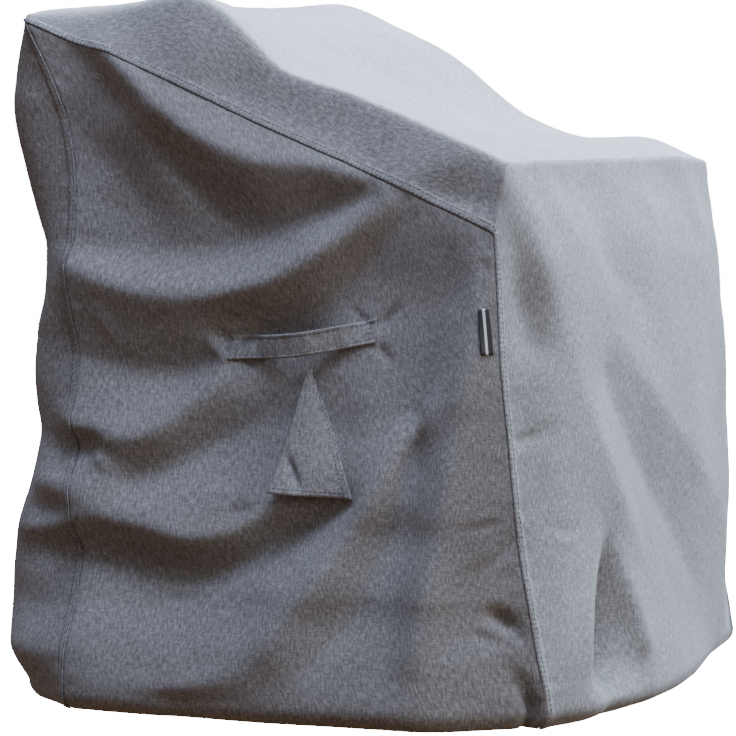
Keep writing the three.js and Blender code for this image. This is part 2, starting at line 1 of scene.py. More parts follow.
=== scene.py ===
"""A loose grey cover over a stack of garden armchairs, as it stands on the ground: one long
strip of cloth up the front, over the sloping top and down the back, and two side panels.
The near side carries a handle strap, a vent flap and a small label."""
import math

import bmesh
import bpy
import numpy as np
from mathutils import Matrix, Vector


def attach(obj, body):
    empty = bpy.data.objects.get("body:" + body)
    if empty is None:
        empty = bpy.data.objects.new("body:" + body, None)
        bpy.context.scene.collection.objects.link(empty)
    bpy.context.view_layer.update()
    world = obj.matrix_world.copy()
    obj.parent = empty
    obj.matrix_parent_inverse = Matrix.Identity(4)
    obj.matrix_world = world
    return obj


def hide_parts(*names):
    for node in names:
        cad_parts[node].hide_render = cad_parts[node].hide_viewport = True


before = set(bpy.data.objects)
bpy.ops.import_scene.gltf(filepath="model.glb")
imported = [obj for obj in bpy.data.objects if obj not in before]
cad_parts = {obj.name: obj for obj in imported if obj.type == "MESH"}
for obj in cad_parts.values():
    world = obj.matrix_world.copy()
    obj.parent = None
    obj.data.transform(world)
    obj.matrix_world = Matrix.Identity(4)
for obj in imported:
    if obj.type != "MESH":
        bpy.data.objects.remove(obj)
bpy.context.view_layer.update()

# Camera: level with the front edge of the top, 4.1 m away, turned towards the side that has
# the handle, with a long lens. Its focus is in pixels of the square picture.
PICTURE = 736
PHOTO_AZIMUTH = math.radians(-67)
PHOTO_ELEVATION = math.radians(3.6)
PHOTO_DISTANCE = 4.1
PHOTO_FOCUS = 3250
SENSOR = 36.0
AIM_RIGHT = -0.026
AIM_UP = 0.381
# From the hanging cover's own millimetres, in which its tables are written, to the frame: the
# middle of its plan comes over the origin.
TO_ORIGIN = np.array([0.3, 11.9, 0])

right = Vector((math.cos(PHOTO_AZIMUTH), math.sin(PHOTO_AZIMUTH), 0))
back = Vector((
    math.sin(PHOTO_AZIMUTH) * math.cos(PHOTO_ELEVATION),
    -math.cos(PHOTO_AZIMUTH) * math.cos(PHOTO_ELEVATION),
    math.sin(PHOTO_ELEVATION),
))
up = back.cross(right)
aim = right * AIM_RIGHT + Vector(TO_ORIGIN / 1000) + Vector((0, 0, AIM_UP))
place = aim + back * PHOTO_DISTANCE
camera = bpy.data.objects.new("photo_camera", bpy.data.cameras.new("photo_camera"))
camera.matrix_world = Matrix((
    (right.x, up.x, back.x, place.x),
    (right.y, up.y, back.y, place.y),
    (right.z, up.z, back.z, place.z),
    (0, 0, 0, 1),
))
camera.data.sensor_width = SENSOR
camera.data.lens = PHOTO_FOCUS * SENSOR / PICTURE
bpy.context.collection.objects.link(camera)
bpy.context.scene.camera = camera


# Studio: a plain white floor, four broad windows of daylight, the strongest high on the far
# side, and a dim sky that is cool overhead and warm and dark near the ground.
def colour(hex_code):
    """An sRGB hex value as a linear colour."""
    parts = [int(hex_code[i:i + 2], 16) / 255 for i in (0, 2, 4)]
    linear = [c / 12.92 if c <= 0.04045 else ((c + 0.055) / 1.055) ** 2.4 for c in parts]
    return (*linear, 1)


def add_node(tree, kind, settings=None, links=None):
    """Adds a node, sets its sockets and properties, and links sockets that come from others."""
    node = tree.nodes.new(kind)
    for name, value in (settings or {}).items():
        if isinstance(name, int) or name in node.inputs:
            node.inputs[name].default_value = value
        else:
            setattr(node, name, value)
    for name, source in (links or {}).items():
        tree.links.new(source, node.inputs[name])
    return node


FLOOR_SIDE = 14
FLOOR_COLOUR = "f4f4f3"
FLOOR_GLOW = 30
LAMPS = {
    # name: (watts, size, place, colour)
    "front_window": (315, 1.4, (1.8, -2.2, 2.3), "d6e9ff"),
    "far_window": (560, 1.6, (2.4, 0.4, 2.8), "dbe5ff"),
    "side_window": (46, 1.4, (-1.0, -3.5, 1.3), "f3eedd"),
    "high_window": (185, 2.0, (-1.4, -1.0, 4.1), "d4e2ff"),
}
SKY_HIGH = "cbd9ec"
SKY_LOW = "9a7857"
SKY_STRENGTH = 0.66
# Heights in the sky, from -1 to 1, between which it fades from low to high
SKY_FADE = (-0.2, 0.8)
BACKDROP_STRENGTH = 16
LAMP_AIM = Vector((0, 0, 0.4))

floor_mesh = bpy.data.meshes.new("floor")
shape = bmesh.new()
bmesh.ops.create_grid(shape, x_segments=1, y_segments=1, size=FLOOR_SIDE / 2)
shape.to_mesh(floor_mesh)
shape.free()
floor = bpy.data.objects.new("floor", floor_mesh)
bpy.context.collection.objects.link(floor)
floor.visible_diffuse = False
floor.visible_glossy = False

# Matt paint that glows, so that the floor is seen as plain white with no shadow on it
floor_paint = bpy.data.materials.new("pale_matt_floor")
floor_paint.use_nodes = True
floor_shader = floor_paint.node_tree.nodes["Principled BSDF"]
floor_shader.inputs["Base Color"].default_value = colour(FLOOR_COLOUR)
floor_shader.inputs["Roughness"].default_value = 0.9
floor_shader.inputs["Emission Color"].default_value = colour(FLOOR_COLOUR)
floor_shader.inputs["Emission Strength"].default_value = FLOOR_GLOW
floor_mesh.materials.append(floor_paint)

for name, (watts, size, spot, tint) in LAMPS.items():
    lamp = bpy.data.objects.new(name, bpy.data.lights.new(name, "AREA"))
    lamp.data.shape = "DISK"
    lamp.data.size = size
    lamp.data.energy = watts
    lamp.data.color = colour(tint)[:3]
    lamp.location = spot
    lamp.rotation_mode = "QUATERNION"
    lamp.rotation_quaternion = (Vector(spot) - LAMP_AIM).to_track_quat("Z", "Y")
    bpy.context.collection.objects.link(lamp)

sky = bpy.data.worlds.new("studio_sky")
bpy.context.scene.world = sky
sky.use_nodes = True
tree = sky.node_tree
tree.nodes.clear()
where = add_node(tree, "ShaderNodeTexCoord")
height = add_node(tree, "ShaderNodeSeparateXYZ", links={0: where.outputs["Generated"]})
shade = add_node(tree, "ShaderNodeMapRange", {"From Min": SKY_FADE[0], "From Max": SKY_FADE[1]},
                 {"Value": height.outputs["Z"]})
mix = add_node(tree, "ShaderNodeMix", {"data_type": "RGBA", 6: colour(SKY_LOW), 7: colour(SKY_HIGH)},
               {0: shade.outputs[0]})
dim = add_node(tree, "ShaderNodeBackground", {"Strength": SKY_STRENGTH}, {"Color": mix.outputs[2]})
plain = add_node(tree, "ShaderNodeBackground", {"Color": colour("ffffff"), "Strength": BACKDROP_STRENGTH})
path = add_node(tree, "ShaderNodeLightPath")
seen = add_node(tree, "ShaderNodeMixShader",
                links={0: path.outputs["Is Camera Ray"], 1: dim.outputs[0], 2: plain.outputs[0]})
add_node(tree, "ShaderNodeOutputWorld", links={0: seen.outputs[0]})


# Centre strip: one length of woven polyester that runs up the front, over the sloping top and
# down the back. It is cut longer than the stack is high, so it hangs in swags and its foot
# turns under on the ground.
HALF_WIDTH = 362
HALF_DEPTH = 330
FRONT_TOP = 650
BACK_TOP = 842
SLOPE_FRONT = -290
SLOPE_BACK = 165
FOOT_RADIUS = 22
FOOT_TUCK = 24
FOOT_TURNS = 6
CLOTH_THICK = 1.3
SEAM_BAND = 9
# How square the plain form's edges are, and where along the turn of an edge the folds of one
# face give way to those of the next
SQUARENESS = 5
SIDE_MARGIN = 10
FACE_START = 0.25
FACE_FADE = 0.5

# Sections of the strip: the side seam, the near shoulder, the middle line and the far shoulder
SECTION = [
    "seam_y", "seam_z", "near_in", "near_y", "near_z", "near_round", "mid_y", "mid_z",
    "far_in", "far_y", "far_z", "far_round",
]
FRONT_SECTIONS = [
    [-343, 22, 95, -380, 22, 110, -396, 22, 98, -358, 22, 104],
    [-328, 115, 92, -362, 115, 100, -376, 115, 86, -357, 115, 84],
    [-312, 210, 90, -348, 215, 90, -364, 215, 66, -357, 215, 70],
    [-301, 305, 86, -338, 320, 80, -356, 320, 50, -352, 320, 56],
    [-290, 400, 84, -330, 425, 70, -350, 430, 38, -345, 430, 48],
    [-284, 490, 64, -318, 535, 46, -338, 542, 36, -334, 540, 46],
    [-280, 562, 14, -288, 642, 14, -306, 652, 28, -323, 646, 36],
]
SLOPE_SECTIONS = [
    [-280, 562, 14, -288, 642, 14, -306, 652, 28, -323, 646, 36],
    [-214, 591, 22, -244, 661, 14, -236, 664, 32, -242, 680, 26],
    [-142, 621, 28, -173, 692, 14, -155, 682, 36, -156, 680, 44],
    [-60, 655, 31, -91, 725, 14, -65, 712, 30, -76, 704, 36],
    [30, 693, 28, -6, 752, 12, 22, 754, 28, 18, 776, 34],
    [122, 732, 46, 98, 828, 18, 136, 828, 34, 112, 827, 34],
    [215, 769, 58, 220, 831, 34, 235, 842, 34, 196, 860, 34],
    [313, 804, 12, 319, 812, 16, 338, 834, 24, 330, 836, 30],
]
BACK_SECTIONS = [
    [225, 22, 72, 332, 22, 80, 366, 22, 106, 346, 22, 120],
    [226, 62, 50, 351, 62, 70, 374, 62, 96, 362, 62, 112],
    [229, 140, 38, 352, 140, 60, 364, 140, 90, 354, 140, 100],
    [238, 260, 28, 329, 262, 44, 350, 260, 66, 342, 260, 80],
    [247, 375, 22, 329, 372, 38, 342, 375, 50, 336, 375, 70],
    [256, 490, 20, 312, 492, 32, 338, 490, 48, 330, 490, 60],
    [257, 600, 16, 332, 602, 32, 348, 600, 46, 342, 600, 60],
    [275, 715, 14, 345, 716, 30, 358, 718, 36, 350, 716, 50],
    [313, 804, 12, 319, 812, 16, 338, 834, 24, 330, 836, 30],
]
# How far from the middle line its bend is rounded, the steps in a rounding, and the longest
# share of the run beside it that a rounding takes
MIDDLE_ROUND = 170
ROUND_STEPS = 13
LONGEST_TRIM = 0.48
# Slit at the foot of the near front seam, where the strip isn't sewn down
SLIT_HEIGHT = 86
SLIT_WIDE = 3

# How far the side walls swell outward at each height, and how the swell fades towards the
# front and the back: where it starts, over what depth, and by what share
SWELL_HEIGHTS = [0, 22, 70, 140, 230, 360, 520, 700, 900]
SWELL_OUT = [64, 74, 73, 62, 40, 18, 5, 2, 0]
FRONT_FADE = (-352, 150)
BACK_FADE = (190, 190, 0.55)

# Folds: points along each crest or hollow, first its place on the face, then how far the cloth
# stands out there. Between the lines the cloth hangs taut.
NEAR_FOLDS = {
    "corner ridge": [(231, 784, 6), (183, 745, 16), (141, 698, 22)],
    "ridge under the top seam": [
        (141, 698, 22), (73, 656, 26), (1, 633, 24), (-79, 631, 15), (-149, 613, 4),
    ],
    "corner hollow": [(290, 807, 0), (240, 763, -8), (197, 715, -10)],
    "corner fold": [(319, 714, 2), (267, 692, -12), (182, 703, -5)],
    "sharp crease": [(254, 683, -12), (200, 631, -18), (161, 586, -18), (128, 543, -14)],
    "slanting rib": [(199, 699, -2), (149, 643, -4), (98, 590, -7)],
    "long slanting hollow": [(141, 665, -4), (85, 600, -14), (29, 557, -17)],
    "hollow above the swag": [
        (255, 541, -8), (127, 536, -14), (22, 552, -16), (-75, 587, -11), (-133, 606, -2),
    ],
    "upper swag": [
        (262, 522, 10), (190, 495, 22), (68, 484, 27), (-26, 507, 27), (-90, 543, 22), (-157, 599, 5),
    ],
    "dark slant by the swag": [(-170, 580, -4), (-122, 530, -10), (-83, 482, -10)],
    "upper back hollow": [(313, 444, -8), (201, 400, -16), (89, 398, -13), (61, 420, -6)],
    "hollow over the strap": [(48, 452, -10), (0, 455, -15), (-50, 462, -14), (-90, 482, -10)],
    "back swag": [(255, 335, 14), (185, 318, 19), (130, 326, 19), (83, 359, 14), (46, 402, 4)],
    "slanting hollow": [(172, 267, -7), (123, 281, -12), (64, 311, -12), (1, 345, -9), (-37, 371, -2)],
    "hollow under the strap": [(35, 404, -4), (-46, 411, -8), (-123, 424, -4)],
    "side knot hollow": [(314, 311, -8), (254, 303, -13), (206, 315, -4)],
    "side knot lip": [(291, 263, 9), (223, 253, 15), (179, 258, 6)],
    "side nick": [(310, 229, -5), (277, 224, -8), (246, 232, 2)],
    "knee lip": [(309, 206, 5), (210, 225, 18), (139, 219, 22), (81, 206, 22), (21, 214, 17)],
    "knee lip end": [(21, 214, 17), (-27, 242, 8), (-65, 257, 2)],
    "knee": [(327, 184, -10), (212, 180, -26), (136, 168, -30), (56, 163, -28), (-13, 190, -17)],
    "hollow under the flap": [(-13, 190, -17), (-63, 221, -12), (-121, 253, -6)],
    "bottom swag": [(245, 35, 14), (145, 34, 22), (44, 42, 27), (-23, 71, 27)],
    "bottom swag rise": [
        (-23, 71, 27), (-59, 120, 27), (-96, 174, 25), (-133, 231, 20), (-164, 286, 14),
    ],
    "bottom swag end": [(-164, 286, 14), (-183, 320, 10), (-208, 372, 3)],
    "hollow before the swag": [(-84, 70, 2), (-118, 110, -8), (-154, 180, -12), (-184, 260, -9)],
    "foot line": [(90, 22, 14), (-20, 22, 20), (-110, 22, 14), (-190, 22, 10), (-270, 22, 8), (-320, 22, 4)],
    "upright hollow": [
        (-234, 541, -4), (-210, 451, -11), (-196, 372, -15), (-188, 283, -15), (-182, 194, -13),
    ],
    "upright hollow foot": [(-182, 194, -13), (-178, 130, -9), (-176, 70, -2)],
    "upright ridge": [
        (-272, 557, 3), (-266, 486, 11), (-252, 413, 16), (-242, 346, 18), (-236, 284, 18), (-229, 217, 15),
    ],
    "upright ridge foot": [(-229, 217, 15), (-221, 150, 11), (-214, 80, 6)],
    "low hollow by the seam": [(-230, 78, -1), (-254, 116, -6), (-264, 180, -3)],
    "back foot hollow": [(325, 116, -10), (281, 113, -12), (228, 113, -4)],
    "back foot lip": [(328, 67, 10), (265, 61, 12), (199, 59, 14)],
    "top corner line": [(-168, 618, 2), (-216, 636, 9), (-264, 650, 8)],
    "top corner facet": [(-199, 606, -4), (-246, 600, -8), (-282, 596, -6)],
    "back rail line": [(120, 822, 6), (106, 783, 7), (86, 731, 2)],
    "top facet hollow": [(71, 736, -4), (-37, 694, -6), (-136, 645, -3)],
}
FAR_FOLDS = {
    "ridge under the top seam": [(240, 770, 8), (110, 680, 24), (-20, 630, 24), (-150, 610, 4)],
    "hollow above the swag": [(260, 600, -8), (120, 560, -16), (0, 545, -14), (-150, 590, -4)],
    "upper swag": [(290, 560, 12), (140, 500, 26), (0, 490, 27), (-120, 530, 16), (-230, 580, 4)],
    "hollow under the swag": [(290, 450, -10), (130, 400, -16), (-40, 400, -14), (-200, 460, -6)],
    "middle swag": [(290, 350, 14), (100, 320, 24), (-60, 320, 22), (-220, 410, 8)],
    "knee lip": [(300, 238, 12), (120, 224, 20), (-60, 236, 18), (-180, 280, 6)],
    "knee": [(300, 204, -12), (120, 178, -26), (-40, 188, -22), (-180, 244, -8)],
    "bottom swag": [(240, 50, 16), (80, 44, 24), (-60, 110, 24), (-160, 200, 18), (-230, 330, 6)],
    "upright hollow": [(-200, 80, -6), (-220, 280, -9), (-250, 520, -4)],
    "upright ridge": [(-240, 90, 8), (-262, 300, 10), (-276, 530, 3)],
}
FRONT_FOLDS = {
    "corner crest": [(-318, 613, 2), (-306, 543, 8), (-274, 447, 10)],
    "corner hollow": [(-342, 567, -2), (-334, 500, -5), (-320, 430, -4)],
    "near crest": [(-274, 447, 10), (-277, 344, 9), (-290, 231, 6), (-306, 100, 4)],
    "long crest": [(-274, 447, 10), (-254, 400, 13), (-224, 335, 17), (-176, 262, 19), (-116, 186, 15)],
    "long hollow": [(-156, 395, -2), (-98, 322, -7), (-32, 258, -10), (38, 198, -9), (124, 121, -2)],
    "upper dent": [(-159, 570, 0), (-99, 521, -8), (-12, 475, -4)],
    "far crest": [(-136, 442, 5), (-40, 368, 12), (66, 300, 17), (190, 214, 15), (290, 130, 6)],
    "foot hollow": [(-200, 196, -2), (-218, 128, -30), (-232, 64, -42), (-238, 34, -24)],
    "foot hollow near lip": [(-216, 196, 7), (-254, 135, 11), (-282, 64, 11)],
    "foot hollow far lip": [(-184, 200, 8), (-162, 131, 20), (-146, 71, 24)],
    "foot line": [(-330, 22, 2), (-285, 22, 6), (-224, 22, 4), (-147, 22, 8), (0, 22, 8), (240, 22, -2)],
    "far swag": [(345, 560, 2), (200, 480, 9), (40, 520, 2)],
}
BACK_FOLDS = {
    "upper swag": [(-345, 740, 6), (-180, 680, 18), (0, 660, 22), (180, 680, 18), (345, 745, 8)],
    "hollow under the upper swag": [(-340, 545, -8), (0, 530, -18), (340, 560, -10)],
    "middle swag": [(-360, 450, 8), (-20, 400, 26), (340, 470, 12)],
    "knee hollow": [(-370, 322, -6), (-160, 306, -18), (60, 300, -18), (340, 335, -8)],
    "lower swag": [(-370, 200, 4), (40, 160, 18), (340, 215, 8)],
    "foot hollow": [(-330, 90, -6), (20, 85, -8), (300, 100, -4)],
}
TOP_FOLDS = {
    "crease from the back rail": [(-262, 150, 6), (-315, 122, 6), (-350, 100, 0)],
    "sag behind the front edge": [(-250, -120, -4), (0, -110, -10), (290, -120, -6)],
    "sag below the back rail": [(-220, 60, -6), (20, 50, -12), (250, 55, -4), (330, 55, 0)],
}
# Creases in the near side and the front: how wide each is, and points along it
NEAR_CREASES = {
    "seam tuck high": (4, [(-253, 227, -2), (-277, 232, -4), (-305, 238, -2)]),
    "seam tuck mid": (4, [(-267, 176, -2), (-287, 194, -4), (-308, 215, -2)]),
    "seam tuck low": (8, [(-284, 136, -3), (-300, 124, -8), (-317, 108, -3)]),
    "seam tuck foot": (5, [(-269, 111, -2), (-285, 104, -3), (-303, 97, -2)]),
    "pull above the strap's back end": (5, [(70, 448, -2), (58, 442, -5), (47, 438, -3)]),
    "fold at the slit": (9, [(-300, 78, -1), (-316, 54, -8), (-328, 32, -13), (-332, 14, -13)]),
    "behind the strap's upper edge": (9, [(46, 436, -3), (14, 439, -12), (-36, 443, -14), (-78, 452, -3)]),
    "lip at the strap's back end": (6, [(71, 432, 2), (58, 421, 4), (46, 412, 2)]),
    "pull above the strap's front end": (4, [(-104, 474, -1), (-116, 463, -4), (-128, 456, -2)]),
    "pull from the strap's front end": (5, [(-140, 454, -4), (-150, 465, -4), (-164, 479, -1)]),
    "pull below the strap's front end": (5, [(-140, 431, -3), (-150, 420, -3), (-163, 407, 0)]),
    "side knot rib": (5, [(209, 301, 2), (201, 290, 4), (191, 281, 2)]),
    "small back crease": (4, [(222, 468, 1), (205, 447, 4), (181, 419, 1)]),
    "dent by the flap": (6, [(32, 231, -1), (15, 238, -4), (-2, 244, -1)]),
    "crease by the front seam": (5, [(-269, 542, -2), (-267, 508, -4), (-265, 479, -1)]),
}
FRONT_CREASES = {
    "hand crease": (6, [(-358, 326, -1), (-340, 327, -4), (-318, 334, -3), (-300, 344, -1)]),
    "near dent": (4, [(-336, 232, -1), (-316, 226, -3), (-294, 219, -4), (-268, 225, -1)]),
    "near dent rim": (5, [(-320, 216, 1), (-296, 208, 2), (-270, 213, 1)]),
}
# The grid on which a face's folds are drawn taut: its spacing, the coarser grids it starts
# from, how often each is evened out, and how often its crests are rounded
FIELD_STEP = 3
FIELD_SCALES = (16, 8, 4, 2, 1)
FIELD_PASSES = 140
CREST_PASSES = 9
# How many points each fold, each crease and each pinned seam is drawn with
LINE_POINTS = 400
CREASE_POINTS = 24
PIN_POINTS = 200
# Share of a crease's depth that each of its points adds
CREASE_SHARE = 0.24
# Unevenness of cloth that has been folded: how far apart the bumps are, and how high
UNEVEN = ((90, 1.4), (38, 0.7), (17, 0.3))
UNEVEN_SEED = 7
# Stretch of each face on which its folds are drawn
DEPTHS = (-420, 420)
WIDTHS = (-460, 460)
HEIGHTS = (0, 880)
FRONT_HEIGHTS = (0, 700)
TOP_DEPTHS = (-400, 400)


def smooth(x):
    """Eases from 0 to 1."""
    t = np.clip(x, 0, 1)
    return t * t * (3 - 2 * t)


def swell(z):
    """The swell at each height, eased from one row of the table to the next."""
    z = np.clip(z, SWELL_HEIGHTS[0], SWELL_HEIGHTS[-1])
    i = np.clip(np.searchsorted(SWELL_HEIGHTS, z, side="right") - 1, 0, len(SWELL_HEIGHTS) - 2)
    low = np.take(SWELL_HEIGHTS, i)
    high = np.take(SWELL_HEIGHTS, i + 1)
    share = smooth((z - low) / (high - low))
    return np.take(SWELL_OUT, i) * (1 - share) + np.take(SWELL_OUT, i + 1) * share


def side_reach(y, z):
    """Distance of a side wall from the middle."""
    front_fade = smooth((y - FRONT_FADE[0]) / FRONT_FADE[1])
    back_fade = 1 - BACK_FADE[2] * smooth((y - BACK_FADE[0]) / BACK_FADE[1])
    return HALF_WIDTH + swell(z) * front_fade * back_fade


def outward(p):
    """Outward direction of the rounded box that the cloth hangs around."""
    along = np.clip((p[..., 1] - SLOPE_FRONT) / (SLOPE_BACK - SLOPE_FRONT), 0, 1)
    top = FRONT_TOP + (BACK_TOP - FRONT_TOP) * along
    share = np.stack([
        p[..., 0] / (HALF_WIDTH + SIDE_MARGIN), p[..., 1] / HALF_DEPTH, np.maximum(0, p[..., 2]) / top,
    ], -1)
    raised = np.sign(share) * np.abs(share) ** SQUARENESS
    return raised / np.linalg.norm(raised, axis=-1, keepdims=True)


def smooth_line(knots, t):
    """Points at t, from 0 to 1, of a centripetal spline through the knots."""
    knots = np.asarray(knots, float)
    ends = np.array([2 * knots[0] - knots[1], *knots, 2 * knots[-1] - knots[-2]])
    spot = np.asarray(t, float) * (len(knots) - 1)
    i = np.minimum(spot.astype(int), len(knots) - 2)
    w = (spot - i)[..., None]
    p0, p1, p2, p3 = ends[i], ends[i + 1], ends[i + 2], ends[i + 3]
    gap = [np.sqrt(np.linalg.norm(b - a, axis=-1, keepdims=True)) for a, b in ((p0, p1), (p1, p2), (p2, p3))]
    into = ((p1 - p0) / gap[0] - (p2 - p0) / (gap[0] + gap[1]) + (p2 - p1) / gap[1]) * gap[1]
    away = ((p2 - p1) / gap[1] - (p3 - p1) / (gap[1] + gap[2]) + (p3 - p2) / gap[2]) * gap[1]
    c2 = -3 * p1 + 3 * p2 - 2 * into - away
    c3 = 2 * p1 - 2 * p2 + into + away
    return p1 + into * w + c2 * w ** 2 + c3 * w ** 3


def strip_lines(rows):
    """The knots of the five lines that run the length of a group of sections, and the rounding
    of its two shoulders, with the row's number beside it so that its spline never stands still."""
    s = {name: np.array([row[i] for row in rows], float) for i, name in enumerate(SECTION)}
    half = side_reach(s["seam_y"], s["seam_z"])
    return [
        np.stack([-half, s["seam_y"], s["seam_z"]], -1),
        np.stack([-half + s["near_in"], s["near_y"], s["near_z"]], -1),
        np.stack([np.zeros_like(half), s["mid_y"], s["mid_z"]], -1),
        np.stack([half - s["far_in"], s["far_y"], s["far_z"]], -1),
        np.stack([half, s["seam_y"], s["seam_z"]], -1),
        np.stack([s["near_round"], s["far_round"], np.arange(len(rows))], -1),
    ]


front_lines = strip_lines(FRONT_SECTIONS)
slope_lines = strip_lines(SLOPE_SECTIONS)
back_lines = strip_lines(BACK_SECTIONS)


def seam_line(lines, t, side):
    """The side seam at t, with its distance from the middle worked out afresh."""
    p = smooth_line(lines[0], t)
    p[..., 0] = side * side_reach(p[..., 1], p[..., 2])
    return p


def rounded_run(knots, rounds, shares):
    """Straight runs between the knots, with each inner knot rounded off."""
    turn = np.linspace(0, 1, ROUND_STEPS)[:, None]
    points = [knots[:1]]
    for before, knot, after, reach in zip(knots, knots[1:], knots[2:], rounds):
        trims = [min(reach, LONGEST_TRIM * np.linalg.norm(other - knot)) for other in (before, after)]
        start = knot + (before - knot) / np.linalg.norm(before - knot) * trims[0]
        stop = knot + (after - knot) / np.linalg.norm(after - knot) * trims[1]
        points.append(start * (1 - turn) ** 2 + 2 * knot * turn * (1 - turn) + stop * turn ** 2)
    points.append(knots[-1:])
    line = np.concatenate(points)
    run = np.concatenate([[0], np.cumsum(np.linalg.norm(np.diff(line, axis=0), axis=1))])
    return np.stack([np.interp(shares * run[-1], run, line[:, k]) for k in range(3)], -1), run[-1]


def strip_rows(lines, ts, across, slit=False):
    """Rows of points across the strip, one for each t."""
    knots = np.stack([smooth_line(line, ts) for line in lines[:5]], 1)
    knots[:, 0] = seam_line(lines, ts, -1)
    knots[:, 4] = seam_line(lines, ts, 1)
    rounds = smooth_line(lines[5], ts)
    rows = []
    for row, corner in zip(knots, rounds):
        shares = across
        if slit:
            length = rounded_run(row, [corner[0], MIDDLE_ROUND, corner[1]], across)[1]
            start = SLIT_WIDE * smooth(1 - row[0][2] / SLIT_HEIGHT) / length
            shares = start + (1 - start) * across
        rows.append(rounded_run(row, [corner[0], MIDDLE_ROUND, corner[1]], shares)[0])
    return np.array(rows)


def resample(field, shape):
    """The same field on a grid of another shape."""
    rows = np.linspace(0, field.shape[0] - 1, shape[0])
    cols = np.linspace(0, field.shape[1] - 1, shape[1])
    part = np.stack([np.interp(rows, np.arange(field.shape[0]), col) for col in field.T], 1)
    return np.stack([np.interp(cols, np.arange(field.shape[1]), row) for row in part])


def relax(field):
    """Each point moves to the middle of its four neighbours."""
    wide = np.pad(field, 1, mode="edge")
    return (wide[2:, 1:-1] + wide[:-2, 1:-1] + wide[1:-1, 2:] + wide[1:-1, :-2]) / 4


class HangingFace:
    """One face of the cover: a taut surface drawn over the crests and hollows of its folds."""

    def __init__(self, folds, a_range, b_range, pins=(), creases=()):
        self.low = np.array([a_range[0], b_range[0]], float)
        cells = (np.array([a_range[1], b_range[1]]) - self.low) / FIELD_STEP
        fine = np.linspace(0, 1, LINE_POINTS)
        lines = [smooth_line(points, fine) for points in folds.values()]
        lines += [np.column_stack([pin, np.zeros(len(pin))]) for pin in pins]
        marks = np.concatenate(lines)
        field = np.zeros((2, 2))
        for scale in FIELD_SCALES:
            shape = tuple(np.round(cells / scale).astype(int) + 1)
            spot = np.round((marks[:, :2] - self.low) / (FIELD_STEP * scale)).astype(int)
            inside = np.all((spot >= 0) & (spot < shape), axis=1)
            total = np.zeros(shape)
            count = np.zeros(shape)
            np.add.at(total, tuple(spot[inside].T), marks[inside, 2])
            np.add.at(count, tuple(spot[inside].T), 1)
            field = resample(field, shape)
            for _ in range(FIELD_PASSES):
                field = np.where(count > 0, total / np.maximum(count, 1), relax(field))
        for _ in range(CREST_PASSES):
            field = relax(field)
        chance = np.random.default_rng(UNEVEN_SEED)
        for spread, size in UNEVEN:
            knots = chance.normal(0, size, tuple(np.round(cells * FIELD_STEP / spread).astype(int) + 2))
            field = field + relax(relax(resample(knots, field.shape)))
        a, b = np.meshgrid(*[low + np.arange(n) * FIELD_STEP for low, n in zip(self.low, field.shape)],
                           indexing="ij")
        for wide, points in creases:
            for pa, pb, out in smooth_line(points, np.linspace(0, 1, CREASE_POINTS)):
                near = np.exp(-((a - pa) ** 2 + (b - pb) ** 2) / wide ** 2)
                field += near * out * CREASE_SHARE
        self.field = field

    def lift(self, a, b):
        """How far the cloth stands out at each place."""
        spot = (np.stack([a, b], -1) - self.low) / FIELD_STEP
        spot = np.clip(spot, 0, np.array(self.field.shape) - 1.001)
        i = spot.astype(int)[..., 0]
        j = spot.astype(int)[..., 1]
        u, v = np.moveaxis(spot % 1, -1, 0)
        low = self.field[i, j] * (1 - u) + self.field[i + 1, j] * u
        high = self.field[i, j + 1] * (1 - u) + self.field[i + 1, j + 1] * u
        return low * (1 - v) + high * v


even = np.linspace(0, 1, PIN_POINTS)
side_pins = [seam_line(lines, even, -1)[:, 1:] for lines in (front_lines, slope_lines)]
front_pins = [seam_line(front_lines, even, side)[:, [0, 2]] for side in (-1, 1)]
FACES = [
    # the face, the two directions it is drawn in, and the way it looks
    (HangingFace(NEAR_FOLDS, DEPTHS, HEIGHTS, side_pins, NEAR_CREASES.values()), 1, 2, (-1, 0, 0)),
    (HangingFace(FAR_FOLDS, DEPTHS, HEIGHTS, side_pins), 1, 2, (1, 0, 0)),
    (HangingFace(FRONT_FOLDS, WIDTHS, FRONT_HEIGHTS, front_pins, FRONT_CREASES.values()), 0, 2, (0, -1, 0)),
    (HangingFace(BACK_FOLDS, WIDTHS, HEIGHTS), 0, 2, (0, 1, 0)),
    (HangingFace(TOP_FOLDS, WIDTHS, TOP_DEPTHS), 0, 1, (0, 0, 1)),
]


def hang(p):
    """Moves points of the plain form to where the slack cloth hangs."""
    out = outward(p)
    lift = np.zeros(p.shape[:-1])
    for face, a, b, facing in FACES:
        share = smooth((out @ np.array(facing, float) - FACE_START) / FACE_FADE)
        lift += share * face.lift(p[..., a], p[..., b])
    return p + out * lift[..., None]


def foot_rows(row):
    """The foot turns under on the ground: a flat tuck, then a quarter round up to the wall."""
    flat = row * np.array([1, 1, 0])
    out = outward(flat)
    out[..., 2] = 0
    out /= np.linalg.norm(out, axis=-1, keepdims=True)
    rows = []
    for inset in (FOOT_TUCK, FOOT_TUCK / 2):
        rows.append(flat - out * (FOOT_RADIUS + inset))
    for turn in np.linspace(math.pi / 2, 0, FOOT_TURNS, endpoint=False):
        curved = flat - out * (FOOT_RADIUS * (1 - math.cos(turn)))
        curved[..., 2] = FOOT_RADIUS * (1 - math.sin(turn))
        rows.append(curved)
    return rows


# Spacing of the cloth's grid, and its closer rows beside a seam, in distance from the edge
GRID_STEP = 6.4
BAND_STEP = 0.6
SEAM_ROWS = (0, 1.5, 3, 5, 7, SEAM_BAND - BAND_STEP, SEAM_BAND + BAND_STEP, 12, 16, 21)


